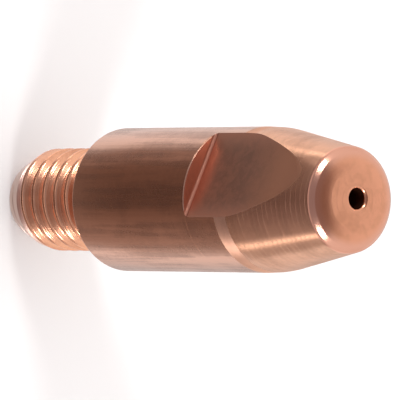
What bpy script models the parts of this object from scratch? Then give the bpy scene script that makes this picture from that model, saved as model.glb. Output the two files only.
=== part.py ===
"""Gas metal arc welding contact tip: one turned, threaded and milled copper piece.

Run with: blender --background --python part.py
Metres, +Z from the thread end to the nose. The origin is the centre of the thread end.
The wrench flats face -Y and +Y.
"""

import math

import bmesh
import bpy

# Overall sizes
overall_length = 0.0280
body_diameter = 0.0080
threaded_end_length = 0.0080
wire_bore_diameter = 0.0011

# Thread: metric, 60 degrees, right handed
thread_diameter = 0.0058
thread_pitch = 0.0010
thread_half_angle = math.radians(30)
thread_crest_share = 1 / 8
thread_depth_share = 0.6134
thread_clocking = math.radians(85)
lead_length = 0.00195
lead_end_diameter = 0.00428
relief_width = 0.0012
relief_below_root = 0.00004

# Edges and the wire's way in
shoulder_break = 0.00025
seat_clearance_round_thread = 0.00015
seat_dish_depth = 0.00005
funnel_diameter = 0.0026
funnel_half_angle = math.radians(45)
bore_mouth_break = 0.0001

# Nose: a skimmed ring, a blend, the cone, a bevelled edge and a slightly domed rim round the flat face
skim_length = 0.0072
skim_angle = math.radians(2.3)
cone_length = 0.0059
cone_blend_radius = 0.0070
nose_edge_diameter = 0.00587
nose_edge_setback = 0.0006
nose_bevel_angle = math.radians(46)
nose_corner_radius = 0.00035
nose_dome_radius = 0.0029
nose_face_diameter = 0.0035

# Wrench flats
across_flats = 0.0062
flat_length = 0.00985
flat_corner_radius = 0.00020

# Mesh fineness
turned_steps = 72
thread_steps_per_turn = 40
nose_dome_steps = 2
nose_corner_steps = 5
blend_arc_steps = 4
corner_arc_steps = 5

# How far a cutter reaches past the surface that it cuts
overcut = 0.0010
thread_overcut = 0.00006


def clear_scene():
    """Remove every object that the file opened with."""
    for old in list(bpy.data.objects):
        bpy.data.objects.remove(old, do_unlink=True)


def new_collection(name):
    collection = bpy.data.collections.new(name)
    bpy.context.scene.collection.children.link(collection)
    return collection


def arc_points(centre, radius, start, end, steps):
    """Points (r, z) on an arc from the angle start to the angle end, both measured from +r towards +z."""
    points = []
    for i in range(steps + 1):
        angle = start + (end - start) * i / steps
        points.append((centre[0] + radius * math.cos(angle), centre[1] + radius * math.sin(angle)))
    return points


def nose_rounding():
    """Points (r, z) from the rim of the flat face out to the edge where the cone ends.

    The dome is tangent to the face, the bevel meets the cone, and the corner arc is tangent to both.
    """
    dome_centre = (nose_face_diameter / 2, overall_length - nose_dome_radius)
    edge = (nose_edge_diameter / 2, overall_length - nose_edge_setback)
    normal = (math.sin(nose_bevel_angle), math.cos(nose_bevel_angle))
    along = (-normal[1], normal[0])
    start = (
        edge[0] - nose_corner_radius * normal[0] - dome_centre[0],
        edge[1] - nose_corner_radius * normal[1] - dome_centre[1],
    )
    reach = nose_dome_radius - nose_corner_radius
    half_b = start[0] * along[0] + start[1] * along[1]
    c = start[0] ** 2 + start[1] ** 2 - reach**2
    travel = -half_b + math.sqrt(half_b**2 - c)
    offset = (start[0] + travel * along[0], start[1] + travel * along[1])
    corner_centre = (dome_centre[0] + offset[0], dome_centre[1] + offset[1])
    meeting_angle = math.atan2(offset[1], offset[0])
    bevel_normal_angle = math.pi / 2 - nose_bevel_angle
    dome = arc_points(dome_centre, nose_dome_radius, math.pi / 2, meeting_angle, nose_dome_steps)
    corner = arc_points(
        corner_centre, nose_corner_radius, meeting_angle, bevel_normal_angle, nose_corner_steps
    )
    return dome + corner[1:] + [edge]


def cone_blend():
    """Arc (r, z), from the cone down to the skimmed ring, tangent to both."""
    skim_start = overall_length - skim_length
    corner_z = overall_length - cone_length
    corner_r = body_diameter / 2 - (corner_z - skim_start) * math.tan(skim_angle)
    cone_angle = math.atan2(corner_r - nose_edge_diameter / 2, cone_length - nose_edge_setback)
    tangent = cone_blend_radius * math.tan((cone_angle - skim_angle) / 2)
    lower_end = (corner_r + tangent * math.sin(skim_angle), corner_z - tangent * math.cos(skim_angle))
    centre = (
        lower_end[0] - cone_blend_radius * math.cos(skim_angle),
        lower_end[1] - cone_blend_radius * math.sin(skim_angle),
    )
    return arc_points(centre, cone_blend_radius, cone_angle, skim_angle, blend_arc_steps)


def turned_section():
    """Closed section (r, z) of the blank: down the outside, in across the thread end, up the bore."""
    bore_radius = wire_bore_diameter / 2
    thread_radius = thread_diameter / 2
    relief_radius = thread_radius - thread_depth_share * thread_pitch - relief_below_root
    funnel_radius = funnel_diameter / 2
    funnel_depth = (funnel_radius - bore_radius) / math.tan(funnel_half_angle)
    section = [(bore_radius + bore_mouth_break, overall_length)]
    section += nose_rounding()
    section += cone_blend()
    section += [
        (body_diameter / 2, overall_length - skim_length),
        (body_diameter / 2, threaded_end_length + shoulder_break),
        (body_diameter / 2 - shoulder_break, threaded_end_length),
        (thread_radius + seat_clearance_round_thread, threaded_end_length),
        (relief_radius, threaded_end_length + seat_dish_depth),
        (relief_radius, threaded_end_length - relief_width),
        (thread_radius, threaded_end_length - relief_width),
        (thread_radius, lead_length),
        (lead_end_diameter / 2, 0.0),
        (funnel_radius, 0.0),
        (bore_radius, funnel_depth),
        (bore_radius, overall_length - bore_mouth_break),
    ]
    return section


def add_loop(name, points, collection):
    """A closed loop of edges in the XZ plane through the points (r, z)."""
    mesh = bpy.data.meshes.new(name)
    count = len(points)
    edges = [(i, (i + 1) % count) for i in range(count)]
    mesh.from_pydata([(r, 0.0, z) for r, z in points], edges, [])
    loop = bpy.data.objects.new(name, mesh)
    collection.objects.link(loop)
    return loop


def turn(loop, steps):
    """Turn the section once about Z."""
    screw = loop.modifiers.new("turn", "SCREW")
    screw.axis = "Z"
    screw.angle = math.tau
    screw.steps = steps
    screw.render_steps = steps
    screw.use_merge_vertices = True
    screw.merge_threshold = 1e-7
    screw.use_normal_calculate = True
    return screw


def applied(source, name, collection):
    """The object's evaluated mesh as a new object, in place of the object."""
    graph = bpy.context.evaluated_depsgraph_get()
    mesh = bpy.data.meshes.new_from_object(source.evaluated_get(graph))
    result = bpy.data.objects.new(name, mesh)
    result.matrix_world = source.matrix_world.copy()
    collection.objects.link(result)
    bpy.data.objects.remove(source, do_unlink=True)
    return result


def close_and_face_outwards(target):
    """Cap the open ends of a swept tube and point its faces out."""
    bm = bmesh.new()
    bm.from_mesh(target.data)
    bmesh.ops.remove_doubles(bm, verts=bm.verts, dist=1e-8)
    bmesh.ops.holes_fill(bm, edges=[e for e in bm.edges if e.is_boundary], sides=0)
    bmesh.ops.recalc_face_normals(bm, faces=bm.faces)
    bm.to_mesh(target.data)
    bm.free()


def add_thread_cutter(collection):
    """The groove of the thread as a solid: a V section swept up a helix into the relief."""
    crest_radius = thread_diameter / 2
    depth = thread_depth_share * thread_pitch
    flank = math.tan(thread_half_angle)
    half_mouth = thread_pitch * (1 - thread_crest_share) / 2
    half_root = half_mouth - depth * flank
    half_outside = half_mouth + thread_overcut * flank
    start_z = -thread_pitch
    end_z = threaded_end_length - relief_width / 2
    turns = (end_z - start_z) / thread_pitch
    section = [
        (crest_radius + thread_overcut, start_z + half_outside),
        (crest_radius - depth, start_z + half_root),
        (crest_radius - depth, start_z - half_root),
        (crest_radius + thread_overcut, start_z - half_outside),
    ]
    groove = add_loop("thread_groove_section", section, collection)
    groove.rotation_euler.z = thread_clocking
    screw = turn(groove, round(turns * thread_steps_per_turn))
    screw.angle = turns * math.tau
    screw.screw_offset = turns * thread_pitch
    screw.use_merge_vertices = False
    bpy.context.view_layer.update()
    cutter = applied(groove, "thread_cutter", collection)
    close_and_face_outwards(cutter)
    return cutter


def add_flat_cutter(name, side, collection):
    """The block that mills one wrench flat, with its leading corner rounded. side is -1 or 1 along Y."""
    depth = body_diameter / 2 + overcut - across_flats / 2
    height = flat_length + overcut
    width = body_diameter + 2 * overcut
    bm = bmesh.new()
    bmesh.ops.create_cube(bm, size=1.0)
    bmesh.ops.scale(bm, vec=(width, depth, height), verts=bm.verts)
    middle_y = side * (across_flats / 2 + depth / 2)
    middle_z = overall_length - flat_length + height / 2
    bmesh.ops.translate(bm, vec=(0.0, middle_y, middle_z), verts=bm.verts)
    flat_y = across_flats / 2
    low_z = overall_length - flat_length
    near = 1e-7

    def in_corner(vert):
        return abs(abs(vert.co.y) - flat_y) < near and abs(vert.co.z - low_z) < near

    corner = [e for e in bm.edges if all(in_corner(v) for v in e.verts)]
    bmesh.ops.bevel(
        bm,
        geom=corner,
        offset=flat_corner_radius,
        offset_type="OFFSET",
        segments=corner_arc_steps,
        profile=0.5,
        affect="EDGES",
    )
    bmesh.ops.recalc_face_normals(bm, faces=bm.faces)
    mesh = bpy.data.meshes.new(name)
    bm.to_mesh(mesh)
    bm.free()
    cutter = bpy.data.objects.new(name, mesh)
    collection.objects.link(cutter)
    return cutter


def cut(target, cutter):
    """Take the cutter out of the target, and keep the cutter out of the picture."""
    boolean = target.modifiers.new("cut " + cutter.name, "BOOLEAN")
    boolean.operation = "DIFFERENCE"
    boolean.solver = "EXACT"
    boolean.object = cutter
    cutter.display_type = "WIRE"
    cutter.hide_render = True


def copper():
    """Bright turned copper with a light brown tarnish."""
    material = bpy.data.materials.new("copper")
    material.use_nodes = True
    shader = material.node_tree.nodes["Principled BSDF"]
    shader.inputs["Base Color"].default_value = (0.78, 0.42, 0.30, 1.0)
    shader.inputs["Metallic"].default_value = 1.0
    shader.inputs["Roughness"].default_value = 0.28
    return material


def smooth_round_faces(target):
    target.data.shade_smooth()
    target.data.set_sharp_from_angle(angle=math.radians(20))


def build_contact_tip():
    parts = new_collection("welding_contact_tip")
    cutters = new_collection("cutters")
    section = add_loop("turned_section", turned_section(), parts)
    turn(section, turned_steps)
    bpy.context.view_layer.update()
    blank = applied(section, "turned_blank", parts)
    close_and_face_outwards(blank)
    blank.data.materials.append(copper())
    cut(blank, add_thread_cutter(cutters))
    cut(blank, add_flat_cutter("front_flat_cutter", -1, cutters))
    cut(blank, add_flat_cutter("back_flat_cutter", 1, cutters))
    bpy.context.view_layer.update()
    tip = applied(blank, "contact_tip", parts)
    smooth_round_faces(tip)
    return tip


def main():
    clear_scene()
    build_contact_tip()


main()
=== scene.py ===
import bpy
import bmesh
import math
from mathutils import Matrix, Vector


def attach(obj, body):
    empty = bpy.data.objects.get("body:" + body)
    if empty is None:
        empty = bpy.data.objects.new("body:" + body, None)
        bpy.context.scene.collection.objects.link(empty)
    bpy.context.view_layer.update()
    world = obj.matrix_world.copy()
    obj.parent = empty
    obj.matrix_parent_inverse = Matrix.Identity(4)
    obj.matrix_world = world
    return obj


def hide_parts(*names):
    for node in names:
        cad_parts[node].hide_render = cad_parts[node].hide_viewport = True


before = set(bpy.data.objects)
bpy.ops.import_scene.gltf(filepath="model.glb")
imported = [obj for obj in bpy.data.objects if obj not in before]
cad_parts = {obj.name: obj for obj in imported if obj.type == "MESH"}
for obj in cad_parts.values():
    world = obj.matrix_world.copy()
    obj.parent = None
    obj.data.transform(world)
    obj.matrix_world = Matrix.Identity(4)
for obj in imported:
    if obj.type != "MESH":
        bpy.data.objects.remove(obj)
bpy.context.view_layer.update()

mm = 0.001


def onlySelect(piece):
    bpy.ops.object.select_all(action="DESELECT")
    bpy.context.view_layer.objects.active = piece
    piece.select_set(True)


def namePiece(name):
    # the piece just added and its mesh or lamp data get the same name
    piece = bpy.context.active_object
    piece.name = name
    piece.data.name = name
    return piece


def pick(piece, kind, test):
    # select the piece's faces, edges or vertices in edit mode by their place
    bpy.context.tool_settings.mesh_select_mode = (kind == "VERT", kind == "EDGE", kind == "FACE")
    bpy.ops.mesh.select_all(action="DESELECT")
    mesh = bmesh.from_edit_mesh(piece.data)
    parts = {"VERT": mesh.verts, "EDGE": mesh.edges, "FACE": mesh.faces}[kind]
    for part in parts:
        if test(part):
            part.select_set(True)
    mesh.select_flush_mode()
    bmesh.update_edit_mesh(piece.data)


def drawOutline(points):
    # a line of vertices in the XZ plane, each pulled out of the one before
    last = points[0]
    bpy.ops.mesh.primitive_plane_add(size=0.1 * mm, location=(last[0] * mm, 0, last[1] * mm))
    line = bpy.context.active_object
    bpy.ops.object.transform_apply(location=True, rotation=True, scale=True)
    bpy.context.tool_settings.mesh_select_mode = (True, False, False)
    bpy.ops.object.mode_set(mode="EDIT")
    bpy.ops.mesh.select_all(action="SELECT")
    bpy.ops.mesh.merge(type="CENTER")
    for point in points[1:]:
        step = ((point[0] - last[0]) * mm, 0, (point[1] - last[1]) * mm)
        bpy.ops.mesh.extrude_vertices_move(TRANSFORM_OT_translate={"value": step})
        last = point
    return line


def roundCorners(line, corners, radius, segments):
    # soften the outline's corners at these places
    def isCorner(vert):
        for corner in corners:
            if abs(vert.co.x - corner[0] * mm) < 0.004 * mm and abs(vert.co.z - corner[1] * mm) < 0.004 * mm:
                return True
        return False

    pick(line, "VERT", isCorner)
    bpy.ops.mesh.bevel(offset=radius * mm, offset_type="OFFSET", segments=segments, affect="VERTICES")


def cutWith(piece, cutter):
    # take the cutter out of the piece, then throw it away
    onlySelect(piece)
    cut = piece.modifiers.new("cut", "BOOLEAN")
    cut.operation = "DIFFERENCE"
    cut.solver = "EXACT"
    cut.object = cutter
    bpy.ops.object.modifier_apply(modifier="cut")
    bpy.data.objects.remove(cutter, do_unlink=True)


# camera: a long lens, above the nose, turned so that the tip lies along the picture
shot = {
    "lens": 630.0,
    "aimedAt": 28.0,  # mm up the axis, the nose face
    "distance": 376.4,  # mm from there
    "azimuth": 26.0,
    "fromAxis": 38.64,  # degrees between the line of sight and the tip's axis
    "right": 8.35,
    "down": 0.022,
    "roll": 0.05,
}
azimuth = math.radians(shot["azimuth"])
fromAxis = math.radians(shot["fromAxis"])
nearSide = Vector((math.sin(azimuth), -math.cos(azimuth), 0))
pictureUp = Vector((-math.cos(azimuth), -math.sin(azimuth), 0))
pictureRight = Vector((0, 0, 1)) * math.sin(fromAxis) - nearSide * math.cos(fromAxis)
towardCamera = Vector((0, 0, 1)) * math.cos(fromAxis) + nearSide * math.sin(fromAxis)
place = Vector((0, 0, shot["aimedAt"] * mm)) - pictureRight * shot["right"] * mm
place = place - pictureUp * shot["down"] * mm + towardCamera * shot["distance"] * mm
bpy.ops.object.camera_add(location=place)
camera = namePiece("pictureCamera")
camera.data.lens = shot["lens"]
camera.data.sensor_width = 36
camera.data.clip_start = 0.01
camera.data.clip_end = 10
turned = Matrix((pictureRight, pictureUp, towardCamera)).transposed().to_4x4()
turned = turned @ Matrix.Rotation(math.radians(shot["roll"]), 4, "Z")
camera.matrix_world = Matrix.Translation(place) @ turned
bpy.context.scene.camera = camera
print("camera placed")

# the blank, turned from round bar; lengths in millimetres
tipSizes = {
    "length": 28.0,
    "bodyRadius": 4.0,
    "threadEnd": 8.0,
    "threadRadius": 2.9,
    "seatRadius": 3.05,
    "dish": 0.05,
    "reliefRadius": 2.25,
    "reliefWidth": 1.2,
    "leadLength": 1.95,
    "leadRadius": 2.14,
    "boreRadius": 0.55,
    "mouthBreak": 0.10,
    "boreWander": (0.18, 0.06),  # away from the camera and up in the picture, at the nose
    "wanderReach": 0.8,  # all this near the axis and above the next height stands off with the mouth
    "wanderFrom": 25.0,
    "mouthHold": 0.09,  # where the face's shading turns flat, outside the mouth
    "funnelRadius": 1.3,
    "shoulderBreak": 0.25,
    "bandStart": 20.64,
    "bandEnd": 21.61,
    "bandRadius": 3.968,
    "coneStart": 22.1,
    "coneStartRadius": 3.948,
    "noseEdgeRadius": 2.905,
    "noseEdge": 27.56,
    "faceRadius": 1.55,
    "domeRadius": 2.9,
    "cornerRadius": 0.2,
    "bevelAngle": 39.0,
    "noseEdgeRound": 0.12,
    "coneRound": 0.5,
    "rimRound": 0.05,
    "bodyRings": (18.0, 13.0),  # heights that divide the long faces
    "boreRings": (10.0, 20.0),
    "domeSteps": 6,
    "cornerSteps": 8,
    "roundSteps": 6,
    "rimSteps": 3,
    "steps": 240,
}


def noseOutline():
    # flat face, slight dome, corner arc and bevel, each tangent to the next
    centre = Vector((tipSizes["faceRadius"], tipSizes["length"] - tipSizes["domeRadius"]))
    edge = Vector((tipSizes["noseEdgeRadius"], tipSizes["noseEdge"]))
    tilt = math.radians(tipSizes["bevelAngle"])
    normal = Vector((math.sin(tilt), math.cos(tilt)))
    along = Vector((-normal.y, normal.x))
    start = edge - normal * tipSizes["cornerRadius"] - centre
    reach = tipSizes["domeRadius"] - tipSizes["cornerRadius"]
    ahead = start.dot(along)
    offset = start + along * (math.sqrt(ahead * ahead - start.length_squared + reach * reach) - ahead)
    corner = centre + offset
    meet = math.atan2(offset.y, offset.x)
    points = []
    for i in range(tipSizes["domeSteps"] + 1):
        angle = math.pi / 2 + (meet - math.pi / 2) * i / tipSizes["domeSteps"]
        points.append(centre + Vector((math.cos(angle), math.sin(angle))) * tipSizes["domeRadius"])
    for i in range(1, tipSizes["cornerSteps"] + 1):
        angle = meet + (math.pi / 2 - tilt - meet) * i / tipSizes["cornerSteps"]
        points.append(corner + Vector((math.cos(angle), math.sin(angle))) * tipSizes["cornerRadius"])
    return points


funnelDepth = tipSizes["funnelRadius"] - tipSizes["boreRadius"]
mouthRadius = tipSizes["boreRadius"] + tipSizes["mouthBreak"]
outline = [(mouthRadius, tipSizes["length"]), (mouthRadius + tipSizes["mouthHold"], tipSizes["length"])]
outline += noseOutline()
outline += [
    (tipSizes["noseEdgeRadius"], tipSizes["noseEdge"]),
    (tipSizes["coneStartRadius"], tipSizes["coneStart"]),
    (tipSizes["bandRadius"], tipSizes["bandEnd"]),
    (tipSizes["bodyRadius"], tipSizes["bandStart"]),
    (tipSizes["bodyRadius"], tipSizes["bodyRings"][0]),
    (tipSizes["bodyRadius"], tipSizes["bodyRings"][1]),
    (tipSizes["bodyRadius"], tipSizes["threadEnd"] + tipSizes["shoulderBreak"]),
    (tipSizes["bodyRadius"] - tipSizes["shoulderBreak"], tipSizes["threadEnd"]),
    (tipSizes["seatRadius"], tipSizes["threadEnd"]),
    (tipSizes["reliefRadius"], tipSizes["threadEnd"] + tipSizes["dish"]),
    (tipSizes["reliefRadius"], tipSizes["threadEnd"] - tipSizes["reliefWidth"]),
    (tipSizes["threadRadius"], tipSizes["threadEnd"] - tipSizes["reliefWidth"]),
    (tipSizes["threadRadius"], tipSizes["leadLength"]),
    (tipSizes["leadRadius"], 0.0),
    (tipSizes["funnelRadius"], 0.0),
    (tipSizes["boreRadius"], funnelDepth),
    (tipSizes["boreRadius"], tipSizes["boreRings"][0]),
    (tipSizes["boreRadius"], tipSizes["boreRings"][1]),
    (tipSizes["boreRadius"], tipSizes["length"] - tipSizes["mouthBreak"]),
]
bpy.ops.object.select_all(action="DESELECT")
tip = drawOutline(outline)
namePiece("copperTip")
ends = (outline[0], outline[-1])
pick(tip, "VERT", lambda v: any(math.dist((v.co.x, v.co.z), (e[0] * mm, e[1] * mm)) < 1e-8 for e in ends))
bpy.ops.mesh.edge_face_add()
coneCorner = (tipSizes["coneStartRadius"], tipSizes["coneStart"])
noseCorner = (tipSizes["noseEdgeRadius"], tipSizes["noseEdge"])
roundCorners(tip, [coneCorner], tipSizes["coneRound"], tipSizes["roundSteps"])
roundCorners(tip, [noseCorner], tipSizes["noseEdgeRound"], tipSizes["roundSteps"])
shoulderCorners = [
    (tipSizes["bodyRadius"], tipSizes["threadEnd"] + tipSizes["shoulderBreak"]),
    (tipSizes["bodyRadius"] - tipSizes["shoulderBreak"], tipSizes["threadEnd"]),
]
threadEndCorners = [(tipSizes["leadRadius"], 0.0), (tipSizes["funnelRadius"], 0.0)]
for corners in (shoulderCorners, ends, threadEndCorners):
    roundCorners(tip, corners, tipSizes["rimRound"], tipSizes["rimSteps"])
bpy.ops.mesh.select_all(action="SELECT")
bpy.ops.mesh.spin(steps=tipSizes["steps"], angle=math.tau, center=(0, 0, 0), axis=(0, 0, 1))
bpy.ops.mesh.select_all(action="SELECT")
bpy.ops.mesh.remove_doubles(threshold=1e-7)
bpy.ops.mesh.normals_make_consistent(inside=False)


def atMouth(vert):
    return vert.co.xy.length < tipSizes["wanderReach"] * mm and vert.co.z > tipSizes["wanderFrom"] * mm


pick(tip, "VERT", atMouth)
wander = -nearSide * tipSizes["boreWander"][0] * mm + pictureUp * tipSizes["boreWander"][1] * mm
bpy.ops.transform.translate(value=wander)
bpy.ops.object.mode_set(mode="OBJECT")
print("blank turned", len(tip.data.polygons), "faces")

# the thread: a V groove swept up a helix, with round crests and roots
threadSizes = {
    "pitch": 1.0,
    "halfAngle": 30.0,
    "crestRound": 0.22,
    "rootRound": 0.10,
    "start": -1.0,
    "end": 7.4,
    "clocking": 85.0,
    "outside": 0.08,  # how far the cutter stands out of the crests
    "spread": 0.002,  # and how much wider it is there, on each side
    "crestSteps": 8,
    "rootSteps": 5,
    "stepsPerTurn": 96,
}


def grooveOutline():
    # one crest's arc, the flank, the root's arc and the same mirrored, as seen across the groove
    lean = math.radians(threadSizes["halfAngle"])
    crest, root = threadSizes["crestRound"], threadSizes["rootRound"]
    halfPitch = threadSizes["pitch"] / 2
    crestCentre = tipSizes["threadRadius"] - crest
    sharpCrest = crestCentre + crest / math.sin(lean)
    rootCentre = sharpCrest - halfPitch / math.tan(lean) + root / math.sin(lean)
    lower = []
    for i in range(threadSizes["crestSteps"] + 1):
        angle = (math.pi / 2 - lean) * i / threadSizes["crestSteps"]
        lower.append((crestCentre + crest * math.cos(angle), halfPitch - crest * math.sin(angle)))
    for i in range(threadSizes["rootSteps"] + 1):
        angle = lean + (math.pi / 2 - lean) * i / threadSizes["rootSteps"]
        lower.append((rootCentre - root * math.sin(angle), root * math.cos(angle)))
    upper = [(r, -z) for r, z in reversed(lower[:-1])]
    return [(r, z + threadSizes["start"]) for r, z in lower + upper]


bpy.ops.object.select_all(action="DESELECT")
grooveLine = grooveOutline()
grooveReach = tipSizes["threadRadius"] + threadSizes["outside"]
grooveLine[0] = (grooveReach, grooveLine[0][1] - threadSizes["spread"])
grooveLine[-1] = (grooveReach, grooveLine[-1][1] + threadSizes["spread"])
groove = drawOutline(grooveLine)
groove.name = "grooveCutter"
pick(groove, "VERT", lambda v: v.co.x > (grooveReach - 0.01) * mm)
bpy.ops.mesh.edge_face_add()
bpy.ops.object.mode_set(mode="OBJECT")
groove.rotation_euler.z = math.radians(threadSizes["clocking"])
bpy.ops.object.transform_apply(location=True, rotation=True, scale=True)
turns = (threadSizes["end"] - threadSizes["start"]) / threadSizes["pitch"]
helix = groove.modifiers.new("helix", "SCREW")
helix.axis = "Z"
helix.angle = turns * math.tau
helix.screw_offset = turns * threadSizes["pitch"] * mm
helix.steps = round(turns * threadSizes["stepsPerTurn"])
helix.render_steps = helix.steps
helix.use_merge_vertices = False
onlySelect(groove)
bpy.ops.object.modifier_apply(modifier="helix")
bpy.ops.object.mode_set(mode="EDIT")
bpy.ops.mesh.select_all(action="SELECT")
bpy.ops.mesh.remove_doubles(threshold=1e-7)
bpy.ops.mesh.fill_holes(sides=0)
bpy.ops.mesh.normals_make_consistent(inside=False)
bpy.ops.object.mode_set(mode="OBJECT")
cutWith(tip, groove)
print("thread cut", len(tip.data.polygons), "faces")

# the two wrench flats
flatSizes = {
    "fromAxis": 3.07,
    "wall": 18.15,
    "footRadius": 0.20,
    "footSteps": 6,
    "rimBreak": 0.10,
    "rimSteps": 4,
    "outside": 1.0,  # how far the cutter stands out of the bar
    "smoothAngle": 22.0,
}
for side in (-1, 1):
    wide = 2 * (tipSizes["bodyRadius"] + flatSizes["outside"])
    deep = tipSizes["bodyRadius"] + flatSizes["outside"] - flatSizes["fromAxis"]
    tall = tipSizes["length"] + flatSizes["outside"] - flatSizes["wall"]
    bpy.ops.object.select_all(action="DESELECT")
    middle = (0, side * (flatSizes["fromAxis"] + deep / 2) * mm, (flatSizes["wall"] + tall / 2) * mm)
    bpy.ops.mesh.primitive_cube_add(size=1, location=middle, scale=(wide * mm, deep * mm, tall * mm))
    block = namePiece("flatCutter")
    bpy.ops.object.transform_apply(location=True, rotation=True, scale=True)
    bpy.ops.object.mode_set(mode="EDIT")

    def atFoot(edge):
        foot = (flatSizes["fromAxis"] * mm, flatSizes["wall"] * mm)
        return all(math.dist((abs(v.co.y), v.co.z), foot) < 1e-6 for v in edge.verts)

    pick(block, "EDGE", atFoot)
    bpy.ops.mesh.bevel(offset=flatSizes["footRadius"] * mm, segments=flatSizes["footSteps"], affect="EDGES")
    bpy.ops.object.mode_set(mode="OBJECT")
    cutWith(tip, block)
onlySelect(tip)
bpy.ops.object.mode_set(mode="EDIT")


def onStepRim(edge):
    # the arc where each step's wall comes out at the round of the bar, not the chord across it
    middle = (edge.verts[0].co + edge.verts[1].co) / 2
    level = all(abs(v.co.z - flatSizes["wall"] * mm) < 1e-6 for v in edge.verts)
    return level and middle.xy.length > (tipSizes["bodyRadius"] - 0.01) * mm


pick(tip, "EDGE", onStepRim)
bpy.ops.mesh.bevel(offset=flatSizes["rimBreak"] * mm, segments=flatSizes["rimSteps"], affect="EDGES")
bpy.ops.object.mode_set(mode="OBJECT")
bpy.ops.object.shade_smooth_by_angle(angle=math.radians(flatSizes["smoothAngle"]))
print("flats milled", len(tip.data.polygons), "faces")


# small helpers for the finishes' nodes
def feed(tree, socket, value):
    if isinstance(value, bpy.types.NodeSocket):
        tree.links.new(value, socket)
    else:
        socket.default_value = value


def maths(tree, operation, *values):
    node = tree.nodes.new("ShaderNodeMath")
    node.operation = operation
    for socket, value in zip(node.inputs, values):
        feed(tree, socket, value)
    return node.outputs[0]


def remap(tree, value, low, high, toLow=0.0, toHigh=1.0):
    node = tree.nodes.new("ShaderNodeMapRange")
    node.interpolation_type = "SMOOTHSTEP"
    for socket, given in zip(node.inputs, (value, low, high, toLow, toHigh)):
        feed(tree, socket, given)
    return node.outputs[0]


def noise(tree, place, scale, detail, roughness=0.5, distortion=0.0):
    node = tree.nodes.new("ShaderNodeTexNoise")
    feed(tree, node.inputs["Vector"], place)
    feed(tree, node.inputs["Scale"], scale)
    feed(tree, node.inputs["Detail"], detail)
    feed(tree, node.inputs["Roughness"], roughness)
    feed(tree, node.inputs["Distortion"], distortion)
    return node.outputs[0]


def blend(tree, share, first, second):
    node = tree.nodes.new("ShaderNodeMix")
    node.data_type = "RGBA"
    feed(tree, node.inputs[0], share)
    feed(tree, node.inputs[6], first)
    feed(tree, node.inputs[7], second)
    return node.outputs[2]


def vector(tree, x, y, z):
    node = tree.nodes.new("ShaderNodeCombineXYZ")
    for socket, value in zip(node.inputs, (x, y, z)):
        feed(tree, socket, value)
    return node.outputs[0]


def aroundTip(tree, place):
    # direction round the axis, distance from it and height, the last two in millimetres
    apart = tree.nodes.new("ShaderNodeSeparateXYZ")
    feed(tree, apart.inputs[0], place)
    x, y, z = (maths(tree, "MULTIPLY", out, 1000.0) for out in apart.outputs)
    squares = maths(tree, "ADD", maths(tree, "MULTIPLY", x, x), maths(tree, "MULTIPLY", y, y))
    away = maths(tree, "MAXIMUM", maths(tree, "SQRT", squares), 0.001)
    return maths(tree, "DIVIDE", x, away), maths(tree, "DIVIDE", y, away), away, z


def newGroup(name, inputs, outputs):
    tree = bpy.data.node_groups.new(name, "ShaderNodeTree")
    for label, value in inputs.items():
        kind = "NodeSocketVector" if label == "Place" else "NodeSocketFloat"
        socket = tree.interface.new_socket(label, in_out="INPUT", socket_type=kind)
        if label != "Place":
            socket.default_value = value
    for label in outputs:
        tree.interface.new_socket(label, in_out="OUTPUT", socket_type="NodeSocketFloat")
    return tree, tree.nodes.new("NodeGroupInput").outputs, tree.nodes.new("NodeGroupOutput").inputs


# rings left by the turning tool: a sharp ridge between one pass and the next, and fine scratches
toolRings, given, result = newGroup(
    "toolRings", {"Place": None, "Spacing": 0.4, "Ridge": 0.05, "Waver": 0.15}, ("Height", "Tone")
)
ax, ay, away, up = aroundTip(toolRings, given["Place"])
along = maths(toolRings, "SUBTRACT", up, away)
unsteady = noise(toolRings, vector(toolRings, ax, ay, maths(toolRings, "MULTIPLY", along, 1.5)), 1.5, 2.0)
along = maths(toolRings, "ADD", along, maths(toolRings, "MULTIPLY", unsteady, given["Waver"]))
count = maths(toolRings, "DIVIDE", along, given["Spacing"])
fromRidge = maths(toolRings, "MULTIPLY", maths(toolRings, "PINGPONG", count, 0.5), given["Spacing"])
ridge = remap(toolRings, fromRidge, given["Ridge"], 0.0)
uneven = noise(toolRings, vector(toolRings, ax, ay, count), 2.3, 3.0, 0.6)
ridge = maths(toolRings, "MULTIPLY", ridge, remap(toolRings, uneven, 0.3, 0.7, 0.3, 1.0))
quarterX = maths(toolRings, "MULTIPLY", ax, 0.25)
quarterY = maths(toolRings, "MULTIPLY", ay, 0.25)
scratches = noise(toolRings, vector(toolRings, quarterX, quarterY, count), 3.0, 4.0, 0.65)
scratches = maths(toolRings, "MULTIPLY", scratches, 0.4)
feed(toolRings, result["Height"], maths(toolRings, "ADD", ridge, scratches))
slowPlace = vector(toolRings, ax, ay, maths(toolRings, "MULTIPLY", count, 0.5))
feed(toolRings, result["Tone"], remap(toolRings, noise(toolRings, slowPlace, 1.0, 3.0, 0.6), 0.3, 0.7))

# lines left along the bar by the drawing die
drawnLines, given, result = newGroup(
    "drawnLines", {"Place": None, "Fineness": 24.0, "Length": 12.0}, ("Height", "Tone")
)
ax, ay, away, up = aroundTip(drawnLines, given["Place"])
fine = given["Fineness"]
lengthwise = maths(drawnLines, "DIVIDE", up, given["Length"])
linePlace = vector(
    drawnLines, maths(drawnLines, "MULTIPLY", ax, fine), maths(drawnLines, "MULTIPLY", ay, fine), lengthwise
)
feed(drawnLines, result["Height"], noise(drawnLines, linePlace, 1.0, 4.0, 0.6))
wide = maths(drawnLines, "MULTIPLY", fine, 0.3)
bandPlace = vector(
    drawnLines, maths(drawnLines, "MULTIPLY", ax, wide), maths(drawnLines, "MULTIPLY", ay, wide), lengthwise
)
feed(drawnLines, result["Tone"], remap(drawnLines, noise(drawnLines, bandPlace, 1.0, 3.0, 0.55), 0.32, 0.68))

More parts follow.
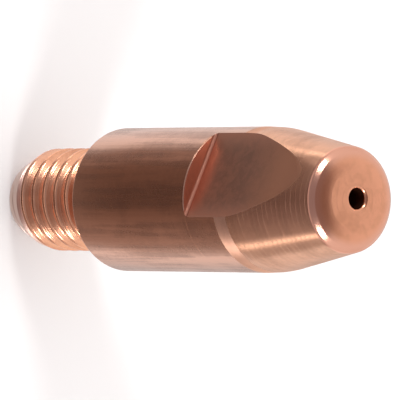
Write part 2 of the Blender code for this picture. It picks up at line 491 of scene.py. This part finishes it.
# the brown film that copper takes on in handling, and the grain in it
brownFilm, given, result = newGroup("brownFilm", {"Place": None, "Size": 2.0}, ("Cloud", "Grain"))
scaled = brownFilm.nodes.new("ShaderNodeVectorMath")
scaled.operation = "SCALE"
feed(brownFilm, scaled.inputs[0], given["Place"])
feed(brownFilm, scaled.inputs["Scale"], maths(brownFilm, "DIVIDE", 1000.0, given["Size"]))
cloud = noise(brownFilm, scaled.outputs[0], 1.0, 5.0, 0.6, 0.4)
feed(brownFilm, result["Cloud"], remap(brownFilm, cloud, 0.35, 0.65))
feed(brownFilm, result["Grain"], noise(brownFilm, scaled.outputs[0], 9.0, 3.0, 0.7))

# bare metal along a rim at one height and distance from the axis: partly metal rubbed through, partly a
# painted edge highlight
wornRimAndHighlight, given, result = newGroup(
    "wornRimAndHighlight", {"Place": None, "Height": 8.0, "Radius": 4.0, "Width": 0.1}, ("Mask",)
)
ax, ay, away, up = aroundTip(wornRimAndHighlight, given["Place"])
higher = maths(wornRimAndHighlight, "SUBTRACT", up, given["Height"])
wider = maths(wornRimAndHighlight, "SUBTRACT", away, given["Radius"])
squares = (maths(wornRimAndHighlight, "MULTIPLY", higher, higher), maths(wornRimAndHighlight, "MULTIPLY", wider, wider))
fromRim = maths(wornRimAndHighlight, "SQRT", maths(wornRimAndHighlight, "ADD", *squares))
fromRim = maths(wornRimAndHighlight, "DIVIDE", fromRim, given["Width"])
patchy = noise(wornRimAndHighlight, vector(wornRimAndHighlight, ax, ay, up), 6.0, 3.0, 0.7)
fromRim = maths(wornRimAndHighlight, "ADD", fromRim, remap(wornRimAndHighlight, patchy, 0.3, 0.7, -0.4, 0.4))
feed(wornRimAndHighlight, result["Mask"], remap(wornRimAndHighlight, fromRim, 1.0, 0.4))


def useGroup(tree, group, place, **values):
    node = tree.nodes.new("ShaderNodeGroup")
    node.node_tree = group
    feed(tree, node.inputs["Place"], place)
    for label, value in values.items():
        node.inputs[label].default_value = value
    return node.outputs


# each finish: bare and filmed colour, how rough, which marks and how deep in millimetres
finishes = {
    "drawnBar": {
        "bare": (0.76, 0.42, 0.30), "film": (0.46, 0.25, 0.18), "filmShare": 0.46, "filmSize": 2.4,
        "rough": 0.22, "filmRough": 0.30, "grooveRun": 0.0, "lines": 0.006, "rings": 0.0, "grain": 0.003,
        "wornRimsAndHighlights": [(8.12, 3.92, 0.16), (18.15, 3.98, 0.07)],
    },
    "skimmedBand": {
        "bare": (0.84, 0.49, 0.35), "film": (0.66, 0.37, 0.26), "filmShare": 0.5, "filmSize": 1.2,
        "rough": 0.56, "filmRough": 0.60, "grooveRun": 0.97, "lines": 0.0, "rings": 0.006, "grain": 0.002,
        "wornRimsAndHighlights": [],
    },
    "turnedCone": {
        "bare": (0.82, 0.45, 0.30), "film": (0.60, 0.32, 0.21), "filmShare": 0.5, "filmSize": 1.8,
        "rough": 0.23, "filmRough": 0.27, "grooveRun": 1.0, "lines": 0.0, "rings": 0.007, "grain": 0.001,
        "wornRimsAndHighlights": [(27.5, 2.9, 0.08)],
    },
    "turnedNose": {
        "bare": (0.80, 0.37, 0.23), "film": (0.64, 0.29, 0.17), "filmShare": 0.4, "filmSize": 0.6,
        "rough": 0.22, "filmRough": 0.28, "grooveRun": 0.0, "lines": 0.0, "rings": 0.002, "grain": 0.003,
        "wornRimsAndHighlights": [(27.55, 2.75, 0.1), (27.97, 0.62, 0.12)],
        # painted reflection: greyer copper across the bevel
        "paintedLightTints": [("away", 2.1, 2.6, (0.80, 0.41, 0.295), 0.22)],
    },
    "milledFlat": {
        "bare": (0.60, 0.34, 0.25), "film": (0.42, 0.24, 0.18), "filmShare": 0.8, "filmSize": 0.7,
        "rough": 0.44, "filmRough": 0.52, "grooveRun": 0.0, "lines": 0.0, "rings": 0.0, "grain": 0.006,
        "wornRimsAndHighlights": [],
        "paintedLightTints": [
            # painted reflection of the step wall at the flat's foot; painted light towards the nose end and
            # towards the flat's outer edges
            ("up", 19.7, 18.4, (0.74, 0.38, 0.27), 0.34), ("up", 21.8, 25.5, (0.84, 0.46, 0.31), 0.42),
            ("away", 3.3, 4.1, (0.90, 0.50, 0.37), 0.44),
        ],
    },
    "stepWall": {
        "bare": (0.67, 0.29, 0.20), "film": (0.52, 0.23, 0.16), "filmShare": 0.5, "filmSize": 0.8,
        "rough": 0.28, "filmRough": 0.34, "grooveRun": 0.0, "lines": 0.0, "rings": 0.0, "grain": 0.006,
        "wornRimsAndHighlights": [(18.15, 3.98, 0.09)],
    },
    "facedSeat": {
        "bare": (0.88, 0.46, 0.30), "film": (0.70, 0.36, 0.24), "filmShare": 0.4, "filmSize": 1.0,
        "rough": 0.26, "filmRough": 0.34, "grooveRun": 0.0, "lines": 0.0, "rings": 0.003, "grain": 0.003,
        "wornRimsAndHighlights": [],
    },
    "cutThread": {
        "bare": (0.95, 0.48, 0.30), "film": (0.60, 0.28, 0.18), "filmShare": 0.5, "filmSize": 1.6,
        "rough": 0.21, "filmRough": 0.30, "grooveRun": 0.3, "lines": 0.0, "rings": 0.004, "grain": 0.004,
        "wornRimsAndHighlights": [],
        # painted reflection: paler, greyer copper towards the lead end; painted light: brighter orange by
        # the shoulder
        "paintedLightTints": [("up", 2.4, 1.3, (0.84, 0.60, 0.52), 0.34), ("up", 5.9, 6.7, (1.0, 0.45, 0.26), 0.26)],
    },
    # painted shade: much darker copper in the bore and on its mouth
    "drilledBore": {
        "bare": (0.46, 0.18, 0.10), "film": (0.20, 0.08, 0.05), "filmShare": 0.6, "filmSize": 0.5,
        "rough": 0.30, "filmRough": 0.42, "grooveRun": 0.3, "lines": 0.0, "rings": 0.006, "grain": 0.004,
        "wornRimsAndHighlights": [(27.95, 0.58, 0.14)],
    },
}


def makeFinish(name, look):
    finish = bpy.data.materials.new(name)
    finish.use_nodes = True
    tree = finish.node_tree
    shader = tree.nodes["Principled BSDF"]
    place = tree.nodes.new("ShaderNodeTexCoord").outputs["Object"]
    film = useGroup(tree, brownFilm, place, Size=look["filmSize"])
    filmed = maths(tree, "MULTIPLY", film["Cloud"], look["filmShare"])
    filmed = maths(tree, "ADD", filmed, remap(tree, film["Grain"], 0.35, 0.65, -0.08, 0.08))
    height = maths(tree, "MULTIPLY", film["Grain"], look["grain"] * mm)
    if look["lines"]:
        lines = useGroup(tree, drawnLines, place)
        filmed = maths(tree, "ADD", filmed, remap(tree, lines["Tone"], 0.0, 1.0, -0.30, 0.40))
        height = maths(tree, "ADD", height, maths(tree, "MULTIPLY", lines["Height"], look["lines"] * mm))
    if look["rings"]:
        rings = useGroup(tree, toolRings, place)
        filmed = maths(tree, "ADD", filmed, remap(tree, rings["Tone"], 0.0, 1.0, -0.15, 0.15))
        height = maths(tree, "ADD", height, maths(tree, "MULTIPLY", rings["Height"], look["rings"] * mm))
    filmed = maths(tree, "MAXIMUM", maths(tree, "MINIMUM", filmed, 1.0), 0.0)
    # paler bare copper along rims: partly real wear, partly a painted edge highlight
    for rimHeight, rimRadius, width in look["wornRimsAndHighlights"]:
        rimWearAndHighlight = useGroup(tree, wornRimAndHighlight, place, Height=rimHeight, Radius=rimRadius, Width=width)
        filmed = maths(tree, "MULTIPLY", filmed, maths(tree, "SUBTRACT", 1.0, rimWearAndHighlight["Mask"]))
    colour = blend(tree, filmed, (*look["bare"], 1), (*look["film"], 1))
    rough = remap(tree, filmed, 0.0, 1.0, look["rough"], look["filmRough"])
    # painted light and painted reflections, as tones that come in with the height or the distance from the
    # axis: no tint at start, all of it at full
    for measure, start, full, tint, tintRough in look.get("paintedLightTints", []):
        across = aroundTip(tree, place)
        share = remap(tree, across[3] if measure == "up" else across[2], start, full)
        colour = blend(tree, share, colour, (*tint, 1))
        rough = remap(tree, share, 0.0, 1.0, rough, tintRough)
    feed(tree, shader.inputs["Base Color"], colour)
    feed(tree, shader.inputs["Roughness"], rough)
    shader.inputs["Metallic"].default_value = 1
    shader.inputs["Anisotropic"].default_value = look["grooveRun"]
    shader.inputs["Anisotropic Rotation"].default_value = 0.25
    bump = tree.nodes.new("ShaderNodeBump")
    bump.inputs["Distance"].default_value = 1
    feed(tree, bump.inputs["Height"], height)
    feed(tree, shader.inputs["Normal"], bump.outputs[0])
    return finish


for name, look in finishes.items():
    tip.data.materials.append(makeFinish(name, look))
order = list(finishes)
# where one finish gives way to another, in millimetres
seams = {
    "boreTop": 27.8,
    "seatFoot": 7.0,
    "seatInner": 2.2,
    "stepHead": 18.4,
    "noseFoot": 27.35,
    "slack": 0.01,
}


def finishAt(face):
    # by place first, and by which way the face looks where two finishes meet
    centre = face.center / mm
    radius = centre.xy.length
    height = centre.z
    onFlat = abs(abs(centre.y) - flatSizes["fromAxis"]) < seams["slack"] and abs(face.normal.y) > 0.999
    if radius < tipSizes["funnelRadius"] + seams["slack"]:
        if height < seams["boreTop"] or face.normal.z < 0.3:
            return "drilledBore"
    seatHead = tipSizes["threadEnd"] + tipSizes["dish"]
    if seams["seatFoot"] < height < seatHead and face.normal.z < -0.7 and radius > seams["seatInner"]:
        return "facedSeat"
    if height < tipSizes["threadEnd"] and radius < tipSizes["seatRadius"]:
        return "cutThread"
    if height > flatSizes["wall"] - seams["slack"] and onFlat:
        return "milledFlat"
    if flatSizes["wall"] - seams["slack"] < height < seams["stepHead"] and face.normal.z > 0.05:
        return "stepWall"
    if height > seams["noseFoot"]:
        return "turnedNose"
    if height > tipSizes["bandStart"]:
        return "skimmedBand" if height < tipSizes["bandEnd"] else "turnedCone"
    return "drawnBar"


for face in tip.data.polygons:
    face.material_index = order.index(finishAt(face))

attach(tip, "root")
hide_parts("contact_tip")
print("finishes on")

# a white paper sweep: a floor that turns up into a wall all round
sweepSizes = {
    "floorRadius": 1100,
    "slopeHeight": 300,
    "wallRadius": 1400,
    "wallHeight": 700,
    "bend": 140,
    "bendSteps": 8,
    "steps": 64,
}
bpy.ops.object.select_all(action="DESELECT")
sweepLine = [
    (0.0, 0.0),
    (sweepSizes["floorRadius"], 0.0),
    (sweepSizes["wallRadius"], sweepSizes["slopeHeight"]),
    (sweepSizes["wallRadius"], sweepSizes["wallHeight"]),
]
paperSweep = drawOutline(sweepLine)
namePiece("paperSweep")
roundCorners(paperSweep, sweepLine[1:3], sweepSizes["bend"], sweepSizes["bendSteps"])
bpy.ops.mesh.select_all(action="SELECT")
bpy.ops.mesh.spin(steps=sweepSizes["steps"], angle=math.tau, center=(0, 0, 0), axis=(0, 0, 1))
bpy.ops.mesh.select_all(action="SELECT")
bpy.ops.mesh.remove_doubles(threshold=1e-7)
bpy.ops.mesh.normals_make_consistent(inside=True)
bpy.ops.object.mode_set(mode="OBJECT")
bpy.ops.object.shade_smooth()
paper = bpy.data.materials.new("paper")
paper.use_nodes = True
paperShader = paper.node_tree.nodes["Principled BSDF"]
paperShader.inputs["Base Color"].default_value = (0.93, 0.93, 0.93, 1)
paperShader.inputs["Roughness"].default_value = 0.9
paperShader.inputs["Specular IOR Level"].default_value = 0
paperSweep.data.materials.append(paper)
paperSweep.visible_glossy = False  # the copper mirrors the room, not the sheet that it stands on
print("paper sweep laid")

# the room: dark on the side of the camera, bright behind the tip; degrees round from the camera side
room = {
    "levels": [
        (-180, 0.62), (-133, 0.70), (-106, 1.05), (-95, 0.95), (-87, 0.40), (-78, 0.36), (-57, 0.32),
        (-30, 0.20), (-8, 0.125), (20, 0.13), (50, 0.15), (61, 0.18), (68, 0.38), (76, 0.26), (88, 0.24),
        (97, 0.76), (106, 1.00), (144, 0.90), (180, 0.62),
    ],
    "darkTint": (1.15, 0.76, 0.60),
    "brightTint": (1.0, 0.98, 0.98),
    "tintLevels": (0.15, 0.65),  # all dark tint below the first, all bright tint above the second
    "aboveNear": (0.33, 0.31, 0.34),
    "aboveFar": (0.95, 0.92, 0.90),
    "ceiling": (0.26, 0.20, 0.19),
    "horizon": (0.90, 0.82, 0.78),
    "below": (0.62, 0.58, 0.56),
    # upright strips low in the room: side, half width, colour
    "strips": [
        (0, 58, (0.07, 0.03, 0.025)), (-122, 24, (1.05, 1.0, 0.96)), (108, 24, (1.15, 1.08, 1.04)),
        (-90, 9, (0.30, 0.22, 0.18)), (-70, 7, (2.4, 2.2, 2.0)), (91, 6, (2.6, 2.4, 2.2)),
    ],
    # where one part of the room gives way to the next, as sines of the height above the horizon
    "wallsToCeiling": (-0.74, -0.15),
    "overhead": (0.81, 0.85),
    "stripFoot": (-0.72, -0.60),
    "stripHead": (-0.15, -0.30),
    "horizonHeight": 0.03,
    "horizonFade": (0.13, 0.06),
    "wallsToBelow": (-0.88, -0.97),
    # and the same to the sides: from near to far, and the ceiling's bright far corners
    "nearToFar": (0.45, -0.22),
    "farCorner": (0.78, 0.62),
}
world = bpy.data.worlds.new("room")
bpy.context.scene.world = world
world.use_nodes = True
tree = world.node_tree
outward = tree.nodes.new("ShaderNodeTexCoord").outputs["Generated"]


def facing(direction):
    node = tree.nodes.new("ShaderNodeVectorMath")
    node.operation = "DOT_PRODUCT"
    feed(tree, node.inputs[0], outward)
    node.inputs[1].default_value = direction
    return node.outputs["Value"]


turn = maths(tree, "ARCTAN2", facing(pictureUp), facing(nearSide))
turn = maths(tree, "ADD", maths(tree, "DIVIDE", turn, math.tau), 0.5)
ramp = tree.nodes.new("ShaderNodeValToRGB")
feed(tree, ramp.inputs[0], turn)
levels = room["levels"]
while len(ramp.color_ramp.elements) < len(levels):
    ramp.color_ramp.elements.new(1.0)
darkest, brightest = room["tintLevels"]
for stop, (degrees, level) in zip(ramp.color_ramp.elements, levels):
    stop.position = 0.5 + degrees / 360
    share = min(1, max(0, (level - darkest) / (brightest - darkest)))
    tint = [d + (b - d) * share for d, b in zip(room["darkTint"], room["brightTint"])]
    stop.color = (*[level * t for t in tint], 1)
upward = facing((0, 0, 1))
farShare = remap(tree, facing(nearSide), *room["nearToFar"])
above = blend(tree, farShare, (*room["aboveNear"], 1), (*room["aboveFar"], 1))
# the ceiling stays dark but for its far corners
toCorner = maths(tree, "SUBTRACT", maths(tree, "ABSOLUTE", facing(pictureUp)), facing(nearSide))
notCorner = remap(tree, toCorner, *room["farCorner"])
overhead = maths(tree, "MULTIPLY", remap(tree, upward, *room["overhead"]), notCorner)
above = blend(tree, overhead, above, (*room["ceiling"], 1))
walls = blend(tree, remap(tree, upward, *room["wallsToCeiling"]), ramp.outputs[0], above)
low = maths(
    tree, "MULTIPLY", remap(tree, upward, *room["stripFoot"]), remap(tree, upward, *room["stripHead"])
)
for side, halfWidth, colour in room["strips"]:
    off = maths(tree, "ABSOLUTE", maths(tree, "SUBTRACT", turn, 0.5 + side / 360))
    strip = maths(tree, "MULTIPLY", low, remap(tree, off, halfWidth / 360, 0.0))
    walls = blend(tree, strip, walls, (*colour, 1))
offLevel = maths(tree, "ABSOLUTE", maths(tree, "SUBTRACT", upward, room["horizonHeight"]))
walls = blend(tree, remap(tree, offLevel, *room["horizonFade"]), walls, (*room["horizon"], 1))
walls = blend(tree, remap(tree, upward, *room["wallsToBelow"]), walls, (*room["below"], 1))
feed(tree, tree.nodes["Background"].inputs["Color"], walls)

# two oval lamps beside the camera and a broad one overhead; side in degrees from the camera side
lamps = {
    "lampAbove": {
        "side": 73, "rise": 33, "away": 0.9, "wide": 0.19, "tall": 0.30, "power": 2.7, "mirrored": True,
    },
    "lampBelow": {
        "side": -70, "rise": 33, "away": 0.9, "wide": 0.19, "tall": 0.30, "power": 2.7, "mirrored": True,
    },
    # this one lights the paper, and the copper doesn't show it
    "lampOverhead": {
        "side": 180, "rise": 85, "away": 1.2, "wide": 1.4, "tall": 1.4, "power": 6.0, "mirrored": False,
    },
}
tipMiddle = Vector((0, 0, tipSizes["length"] / 2 * mm))
for name, lamp in lamps.items():
    side = math.radians(lamp["side"])
    rise = math.radians(lamp["rise"])
    sideways = nearSide * math.cos(side) + pictureUp * math.sin(side)
    toward = sideways * math.cos(rise) + Vector((0, 0, math.sin(rise)))
    bpy.ops.object.light_add(type="AREA", location=tipMiddle + toward * lamp["away"])
    light = namePiece(name)
    light.data.shape = "ELLIPSE"
    light.data.size = lamp["wide"]
    light.data.size_y = lamp["tall"]
    light.data.energy = lamp["power"]
    light.rotation_mode = "QUATERNION"
    light.rotation_quaternion = toward.to_track_quat("Z", "Y")
    light.visible_glossy = lamp["mirrored"]
bpy.context.scene.view_settings.view_transform = "Standard"
print("studio lit")
